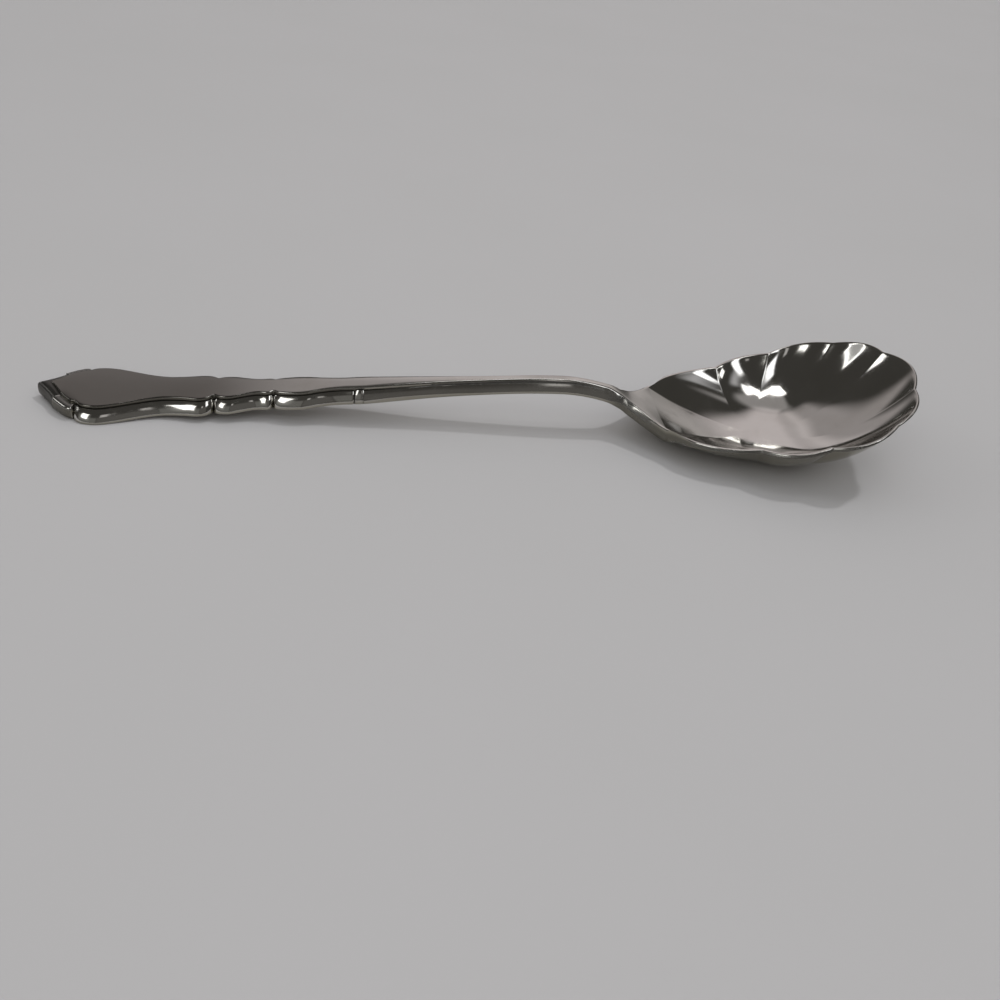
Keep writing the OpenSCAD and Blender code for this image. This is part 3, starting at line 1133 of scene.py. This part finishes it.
            # The band is painted darker, most towards the tip, and the clasps' faces too, with their edges
            # left bright.
            darkened = self.band_dark * (1 if near_end > self.band_dark_to else self.band_dark_in)
            dark.append(np.append(mix(darkened, self.clasp_values(clasp), clasp), 1.0))
        return Bench.loft(name, rings, dark)

    def even_widths(self, points: np.ndarray) -> np.ndarray:
        """Evens the panel's half widths out over its cusps.

        Args:
            points: places along the handle and half widths there.

        Returns:
            The evened half width at each place.
        """
        s = np.linspace(0, self.line.handle_l, self.even_n)
        wide = np.interp(s, points[:, 0], points[:, 1])
        near = np.exp(-((s[:, None] - s[None]) / self.even_l) ** 2)
        even = (near * wide).sum(1) / near.sum(1)
        return np.interp(points[:, 0], s, mix(even, wide, smooth(s / self.line.handle_l, self.even_to, 1)))

    def panel(self, name: str) -> bpy.types.Object:
        """Models the crowned panel and the metal under it.

        Args:
            name: the piece's name.

        Returns:
            The piece.
        """
        section = self.section
        points = [self.panel_edge(p) for p in (*self.band_path[1:-1], *self.border_path)]
        points.append(np.array([self.line.handle_l, points[-1][1]]))
        # Painted shade down the panel's rounded edge and on its hidden side.
        edge = np.linspace(0, self.edge_dark, section.step_n + 1)[1:] ** 2
        dark = mirrored(np.concatenate([np.zeros(section.panel_n + 1), edge, [1, 1, 0, 0]]))
        rings = []
        for (s, half_w), even_w in zip(points, self.even_widths(np.array(points))):
            top = section.panel_top(half_w, even_w, smooth(s, 0, self.crown_l))
            low = self.line.under(s) - self.line.top(s)
            middle = mix(top[-1, 1], low, 0.5)
            rest = [[half_w, middle], [half_w, low], [half_w * self.under_share, low], [0, low]]
            rings.append(self.line.place(np.concatenate([top, rest]), s))
        return Bench.loft(name, rings, [dark] * len(rings))


# Materials


def maths(operation: str, swapped: bool = False) -> Callable[["Wire", "Wire | float"], "Wire"]:
    """Makes the method of an operator, or of its reflected form with the two sides swapped."""
    return lambda wire, other: wire.joined(operation, *((other, wire) if swapped else (wire, other)))


class Wire:
    """Wraps a shader socket, so that sums on it add maths nodes, or vector ones on a colour."""

    def __init__(self, graph: "Graph", socket: bpy.types.NodeSocket) -> None:
        """Keeps the graph and the socket."""
        self.graph = graph
        self.socket = socket

    def joined(self, operation: str, *parts: "Wire | float") -> "Wire":
        """Adds one maths node, or a vector one where the first part is a colour.

        Args:
            operation: what the node does.
            parts: what it does it to.

        Returns:
            Its result.
        """
        vector = isinstance(parts[0], Wire) and parts[0].socket.type == "VECTOR"
        kind = "ShaderNodeVectorMath" if vector else "ShaderNodeMath"
        return self.graph.node(kind, {"operation": operation}, dict(enumerate(parts)))[0]

    def scaled(self, factor: "Wire") -> "Wire":
        """A colour times a number."""
        return self.graph.node("ShaderNodeVectorMath", {"operation": "SCALE"}, {0: self, "Scale": factor})[0]

    def size(self) -> "Wire":
        """Without its sign."""
        return self.joined("ABSOLUTE", self)

    def eased(self) -> "Wire":
        """Smooth step of a number from 0 to 1."""
        return self * self * (3.0 - self * 2.0)

    def clamp(self) -> "Wire":
        """Held between 0 and 1."""
        return self.graph.node("ShaderNodeClamp", {}, {"Value": self})["Result"]

    def past(self, start: float, gain: float) -> "Wire":
        """How far it is past a start, times a gain, held between 0 and 1."""
        return ((self - start) * gain).clamp()

    __add__ = __radd__ = maths("ADD")
    __mul__ = __rmul__ = maths("MULTIPLY")
    __sub__, __rsub__ = maths("SUBTRACT"), maths("SUBTRACT", True)
    __truediv__, __rtruediv__ = maths("DIVIDE"), maths("DIVIDE", True)
    __pow__, __rpow__ = maths("POWER"), maths("POWER", True)


class Outputs:
    """Outputs of a node, by name or number, each as a Wire."""

    def __init__(self, graph: "Graph", node: bpy.types.Node) -> None:
        """Keeps the node."""
        self.graph = graph
        self.node = node

    def __getitem__(self, key: int | str) -> Wire:
        """One output."""
        return Wire(self.graph, self.node.outputs[key])


class Graph:
    """Node tree of a material or of the world."""

    def __init__(self, owner: bpy.types.Material | bpy.types.World) -> None:
        """Starts an empty tree.

        Args:
            owner: the material or the world that holds it.
        """
        owner.use_nodes = True
        self.tree = owner.node_tree
        self.tree.nodes.clear()

    def node(self, kind: str, settings: dict | None = None, inputs: dict | None = None) -> Outputs:
        """Adds a node.

        Args:
            kind: the node's type.
            settings: its own settings, set first.
            inputs: values or wires of its sockets, by name or number.

        Returns:
            Its outputs.
        """
        made = self.tree.nodes.new(kind)
        for key, value in (settings or {}).items():
            setattr(made, key, value)
        for key, value in (inputs or {}).items():
            socket = made.inputs[key]
            if isinstance(value, Wire):
                self.tree.links.new(value.socket, socket)
            else:
                socket.default_value = value
        return Outputs(self, made)

    def flat(self, colour: tuple) -> Wire:
        """A plain colour, for sums."""
        return self.node("ShaderNodeCombineXYZ", {}, dict(enumerate(colour)))[0]

    def axes(self, vector: Wire) -> Outputs:
        """The three parts of a vector, X, Y and Z."""
        return self.node("ShaderNodeSeparateXYZ", {}, {"Vector": vector})

    def noise(self, vector: Wire, scale: float, detail: float, **more: float) -> Wire:
        """Noise with a scale, a detail and its other sockets by name."""
        sockets = {"Vector": vector, "Scale": scale, "Detail": detail, **more}
        return self.node("ShaderNodeTexNoise", {}, sockets)["Fac"]

    def over(self, under: Wire | tuple, colour: tuple, factor: Wire) -> Wire:
        """A colour laid over another by a factor."""
        sockets = {"Factor": factor, 6: under, 7: (*colour, 1)}
        return self.node("ShaderNodeMix", {"data_type": "RGBA"}, sockets)[2]

    def shade(self, sockets: dict) -> None:
        """Ends a material with a Principled shader that has these sockets."""
        shader = self.node("ShaderNodeBsdfPrincipled", {}, sockets)["BSDF"]
        self.node("ShaderNodeOutputMaterial", {}, {"Surface": shader})


@dataclass(frozen=True)
class Silver:
    """Polished warm silver with fine scratches and smudges, with painted shade in its grooves and on faces
    that look sideways and down, and, where given, a painted dark reflection towards the handle's end.

    A noise is given by its scale and detail, what starts at a level by that level and a gain, and a mottle by
    its even part and the clouds' part.
    """

    name: str
    colour: tuple = (0.78, 0.765, 0.74)
    tarnish: tuple = (0.60, 0.575, 0.53)
    # Painted shade on faces that look sideways and down, standing in for the shaded table that they reflect;
    # its level, gain and mottle are set further down.
    below: tuple = (0.37, 0.352, 0.295)
    # Painted dark reflection towards the handle's end, standing in for the dark room that the panel reflects;
    # its start, length and mottle are set below.
    painted_dark_end: tuple = (0.28, 0.268, 0.25)
    # Painted shade colour, laid on where the mesh's point attribute asks for it: grooves, creases, notches
    # and the sides of lips.
    painted_shade: tuple = (0.03, 0.027, 0.024)
    painted_dark_from: float = 0.0
    painted_dark_l: float = 0.0
    rough: float = 0.07
    rough_more: float = 0.10
    rough_scratch: float = 0.06
    rough_groove: float = 0.3
    scratch: float = 0.25
    mottle: float = 0.45
    seed: float = 0.0
    cloud_noise: tuple = (90.0, 4.0)
    smudge_noise: tuple = (260.0, 5.0)
    fine_noise: tuple = (900.0, 3.0)
    line_noise: tuple = (420.0, 1.0)
    stretch: tuple = (1.0, 7.0, 7.0)
    scratch_turn: float = 0.35
    line_gain: float = 26.0
    wear_past: tuple = (0.52, 5.0)
    cloud_past: tuple = (0.42, 3.0)
    wear_tint: float = 0.12
    below_at: float = 0.36
    below_gain: float = 5.0
    below_mottle: tuple = (0.8, 0.3)
    painted_dark_mottle: tuple = (0.88, 0.2)
    smudge_rough: float = 0.6
    line_bend: float = 0.4
    bump_fine: float = 0.35
    bump_smudge: float = 0.2
    bump_strength: float = 0.05
    bump_h: float = 0.02
    groove_dull: float = 0.1

    def make(self) -> bpy.types.Material:
        """Builds the material.

        Returns:
            The material.
        """
        mat = bpy.data.materials.new(self.name)
        g = Graph(mat)
        place = g.node("ShaderNodeTexCoord")["Object"]
        moved = g.node("ShaderNodeMapping", {}, {"Vector": place, "Location": (self.seed, 0, 0)})["Vector"]
        cloud = g.noise(moved, *self.cloud_noise)
        smudge = g.noise(moved, *self.smudge_noise, Roughness=self.smudge_rough)
        stretched = g.node("ShaderNodeMapping", {}, {"Vector": place, "Scale": self.stretch,
                                                     "Rotation": (0.0, 0.0, self.scratch_turn)})["Vector"]
        fine = g.noise(stretched, *self.fine_noise)
        lines = g.noise(stretched, *self.line_noise, Distortion=self.line_bend)
        scratches = (1 - ((lines - 0.5) * self.line_gain) ** 2.0).clamp()
        wear = smudge.past(*self.wear_past)
        tint = cloud.past(*self.cloud_past) * self.mottle + wear * self.wear_tint
        # Painted shade: faces that look sideways and down get a darker olive colour, standing in for the
        # shaded table that they reflect.
        facing = g.axes(g.node("ShaderNodeNewGeometry")["Normal"])["Z"]
        even, clouded = self.below_mottle
        low = ((self.below_at - facing) * self.below_gain).clamp().eased() * (even + cloud * clouded)
        # How much painted shade each point gets, read from the mesh's point attribute.
        dark = g.node("ShaderNodeAttribute", {"attribute_name": "painted_shade"})["Fac"]
        colour = g.over((*self.colour, 1), self.tarnish, tint)
        # Painted dark reflection, darker towards the handle's end, where the panel reflects the dark room.
        if self.painted_dark_l:
            along_x = g.axes(place)["X"]
            even, clouded = self.painted_dark_mottle
            painted_dark_share = ((self.painted_dark_from * MM - along_x) / (self.painted_dark_l * MM)).clamp().eased()
            painted_dark_share = painted_dark_share * (even + cloud * clouded)
            colour = g.over(colour, self.painted_dark_end, painted_dark_share.clamp())
        # Painted shade laid over the colour: first on faces that look sideways and down, then where the point
        # attribute asks for it.
        colour = g.over(colour, self.below, low.clamp())
        colour = g.over(colour, self.painted_shade, dark.clamp())
        rough = wear * self.rough_more + self.rough + scratches * fine * self.rough_scratch
        rough = rough + dark * self.rough_groove
        height = fine * self.bump_fine + scratches * self.scratch + smudge * self.bump_smudge
        bump = g.node("ShaderNodeBump", {}, {"Height": height, "Strength": self.bump_strength,
                                             "Distance": self.bump_h * MM})["Normal"]
        # Where painted shade lies, the metal is also a little less metallic, so it reads darker.
        metal = (1 - dark * self.groove_dull).clamp()
        g.shade({"Base Color": colour, "Metallic": metal, "Roughness": rough, "Normal": bump})
        return mat


@dataclass(frozen=True)
class PaleTable:
    """Smooth pale grey table top."""

    colour: tuple = (0.468, 0.462, 0.474)
    other: tuple = (0.447, 0.444, 0.45)
    cloud_noise: tuple = (14.0, 3.0)
    rough: float = 0.55
    shine: float = 0.25

    def make(self) -> bpy.types.Material:
        """Builds the material.

        Returns:
            The material.
        """
        mat = bpy.data.materials.new("pale_table")
        g = Graph(mat)
        cloud = g.noise(g.node("ShaderNodeTexCoord")["Object"], *self.cloud_noise)
        colour = g.over((*self.colour, 1), self.other, cloud)
        g.shade({"Base Color": colour, "Roughness": self.rough, "Specular IOR Level": self.shine})
        return mat


# Stage


def heading(turn: float, rise: float) -> Vector:
    """Direction with a turn from ahead to the right and a rise from the table, in radians."""
    return Vector((math.sin(turn) * math.cos(rise), math.cos(turn) * math.cos(rise), math.sin(rise)))


@dataclass(frozen=True)
class Glow:
    """Bright part of the room: its middle and half size in degrees of turn and rise, and its light."""

    turn: float
    rise: float
    half_turn: float
    half_rise: float
    soft: float
    light: tuple
    soft_rise: float = 0.0

    def mask(self, turn: Wire, rise: Wire) -> Wire:
        """Works out where the glow is.

        Args:
            turn: the direction's turn.
            rise: its rise.

        Returns:
            1 inside the glow, falling to 0 at its edge.
        """
        side, up = (
            (math.radians(half) - (wire - math.radians(middle)).size()) / math.radians(soft)
            for wire, middle, half, soft in ((turn, self.turn, self.half_turn, self.soft),
                                             (rise, self.rise, self.half_rise, self.soft_rise or self.soft)))
        return side.clamp().eased() * up.clamp().eased()


@dataclass
class Stage:
    """Table, room, lamp and camera."""

    wall_light: tuple = (0.044, 0.042, 0.038)
    fill: float = 0.52
    fill_high: tuple = (0.97, 1.0, 1.05)
    fill_low: tuple = (1.08, 1.0, 0.86)
    backdrop: tuple = (0.44, 0.435, 0.44)
    glows: tuple = (
        Glow(-140, 38, 13, 14, 2.5, (1.7, 1.7, 1.65)),
        Glow(-141, 34, 22, 24, 10, (0.1, 0.1, 0.095)),
        Glow(-80, 33.5, 15.5, 7.5, 1.5, (2.4, 2.4, 2.35)),
        Glow(-80, 33.5, 12.5, 5, 1.5, (-2.05, -2.05, -2.0)),
        Glow(40, 85, 72, 7.5, 3, (2.4, 2.4, 2.35)),
        Glow(78, 76, 22, 8, 4, (1.9, 1.9, 1.88)),
        Glow(103, 60, 24, 12, 12, (0.35, 0.35, 0.36)),
        Glow(133, 50, 13, 19, 7, (1.7, 1.72, 1.74)),
        Glow(93, 33, 7, 5, 2, (1.8, 1.8, 1.75)),
        Glow(167, 43, 6, 7, 3, (0.4, 0.39, 0.38)),
        Glow(160, 18, 24, 24, 10, (0.05, 0.048, 0.046)),
        Glow(14.5, 31, 24.5, 27, 12, (0.20, 0.185, 0.185), 8),
        Glow(-9, 31, 23, 27, 12, (0.26, 0.241, 0.241), 8),
        Glow(22, 40, 18, 24, 14, (0.30, 0.275, 0.277), 8),
        Glow(28, 68, 44, 16, 16, (0.24, 0.23, 0.23), 8),
        Glow(28, 12, 22, 12, 10, (0.22, 0.21, 0.205)),
        Glow(-150, 18, 40, 24, 12, (0.09, 0.09, 0.085)),
    )

    table_l: float = 3.0
    lamp_turn: float = 58.0
    lamp_rise: float = 60.0
    lamp_soft: float = 4.0
    lamp_power: float = 0.68
    camera_at: tuple = (-21.63, -152.18, 90.26)
    yaw: float = 9.800
    pitch: float = 34.771
    roll: float = 8.368
    focal_px: float = 986.5
    photo_px: float = 1000
    sensor_w: float = 36.0

    def table(self) -> None:
        """Adds the table top."""
        Bench.clear()
        bpy.ops.mesh.primitive_plane_add(size=self.table_l, location=(0, 0, 0))
        top = bpy.context.object
        top.name = "table_top"
        top.data.materials.append(PaleTable().make())

    def lamp(self) -> None:
        """Adds the lamp that draws the shadow's outline, which the metal doesn't reflect."""
        Bench.clear()
        bpy.ops.object.light_add(type="SUN", location=(0, 0, 0.5))
        lamp = bpy.context.object
        lamp.name = "ceiling_lamp"
        towards = heading(math.radians(self.lamp_turn), math.radians(self.lamp_rise))
        lamp.rotation_euler = towards.to_track_quat("Z", "Y").to_euler()
        lamp.data.angle = math.radians(self.lamp_soft)
        lamp.data.energy = self.lamp_power
        lamp.visible_glossy = False

    def camera(self) -> None:
        """Adds the camera at the photograph's place, angle and focal length."""
        data = bpy.data.cameras.new("camera")
        data.sensor_width = self.sensor_w
        data.sensor_fit = "HORIZONTAL"
        data.lens = self.sensor_w * self.focal_px / self.photo_px
        data.clip_start = 0.01
        cam = bpy.data.objects.new("camera", data)
        bpy.context.scene.collection.objects.link(cam)
        psi, theta, rho = (math.radians(a) for a in (self.yaw, self.pitch, self.roll))
        ahead = heading(psi, -theta)
        right0 = Vector((math.cos(psi), -math.sin(psi), 0))
        up0 = Vector((math.sin(psi) * math.sin(theta), math.cos(psi) * math.sin(theta), math.cos(theta)))
        right = math.cos(rho) * right0 + math.sin(rho) * up0
        up = -math.sin(rho) * right0 + math.cos(rho) * up0
        turn = Matrix((right, up, -ahead)).transposed().to_4x4()
        cam.matrix_world = Matrix.Translation(Vector(self.camera_at) * MM) @ turn
        bpy.context.scene.camera = cam

    def room(self) -> None:
        """Gives the world the light of a dim room with windows and ceiling lamps."""
        world = bpy.data.worlds.new("room")
        bpy.context.scene.world = world
        g = Graph(world)
        axes = g.axes(g.node("ShaderNodeTexCoord")["Generated"])
        turn = g.node("ShaderNodeMath", {"operation": "ARCTAN2"}, {0: axes["X"], 1: axes["Y"]})[0]
        rise = g.node("ShaderNodeMath", {"operation": "ARCSINE"}, {0: axes["Z"]})[0]
        light = g.flat(self.wall_light)
        for glow in self.glows:
            light = light + g.flat(glow.light).scaled(glow.mask(turn, rise))
        rays = g.node("ShaderNodeLightPath")
        high = axes["Z"].clamp()
        fill = g.flat(self.fill_high).scaled(high) + g.flat(self.fill_low).scaled(1 - high)
        light = light + fill.scaled(rays["Is Diffuse Ray"] * self.fill)
        seen = rays["Is Camera Ray"]
        light = light.scaled(1 - seen) + g.flat(self.backdrop).scaled(seen)
        shade = g.node("ShaderNodeBackground", {}, {"Color": light, "Strength": 1.0})["Background"]
        g.node("ShaderNodeOutputWorld", {}, {"Surface": shade})

    def set_up(self) -> None:
        """Builds the whole stage."""
        bpy.context.scene.view_settings.view_transform = "Standard"
        self.table()
        self.room()
        self.lamp()
        self.camera()


# Spoon


def dress(piece: bpy.types.Object, node: str, finish: Silver) -> None:
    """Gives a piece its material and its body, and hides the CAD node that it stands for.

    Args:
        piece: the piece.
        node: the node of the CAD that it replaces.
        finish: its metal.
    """
    piece.data.materials.clear()
    piece.data.materials.append(finish.make())
    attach(piece, "root")
    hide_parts(node)
    log.info("%s stands for %s: %d faces", piece.name, node, len(piece.data.polygons))


def main() -> None:
    """Builds the spoon and its stage."""
    logging.basicConfig(level=logging.INFO, format="%(name)s: %(message)s")
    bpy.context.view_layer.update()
    line, seam, section = SpoonLine(), SeamShape(), HandleSection()
    handle, stem = Handle(line, section), Stem(line, section)
    # The panel gets a painted dark reflection towards the handle's end.
    painted_dark_end = {"painted_dark_from": -29.0, "painted_dark_l": 21.0}
    seed_step = 0.3
    plan = (
        (Bowl(line, seam).build("bowl_shell"), "bowl", "bowl_metal", "bowl_silver", {}),
        (Neck(line, seam, stem).build("neck_flare"), "neck", "stem_metal", "neck_silver", {}),
        (stem.build("stem_bar"), "stem", "stem_metal", "stem_silver", {}),
        (handle.panel("handle_panel"), "handle_blade", "panel_metal", "panel_silver", painted_dark_end),
        (handle.border(1, "left_roll"), "left_border", "border_metal", "left_roll_silver", {}),
        (handle.border(-1, "right_roll"), "right_border", "border_metal", "right_roll_silver", {}),
        (handle.bead(1, "left_bead_roll"), "left_bead", "border_metal", "left_bead_silver", {}),
        (handle.bead(-1, "right_bead_roll"), "right_bead", "border_metal", "right_bead_silver", {}),
        (handle.end_band("end_band_roll"), "end_scroll", "border_metal", "end_band_silver", {}),
    )
    for i, (piece, node, slot, finish, look) in enumerate(plan):
        dress(piece, node, Silver(finish, seed=seed_step * i, **look))
    Stage().set_up()
    bpy.context.view_layer.update()


if __name__ == "__main__":
    main()
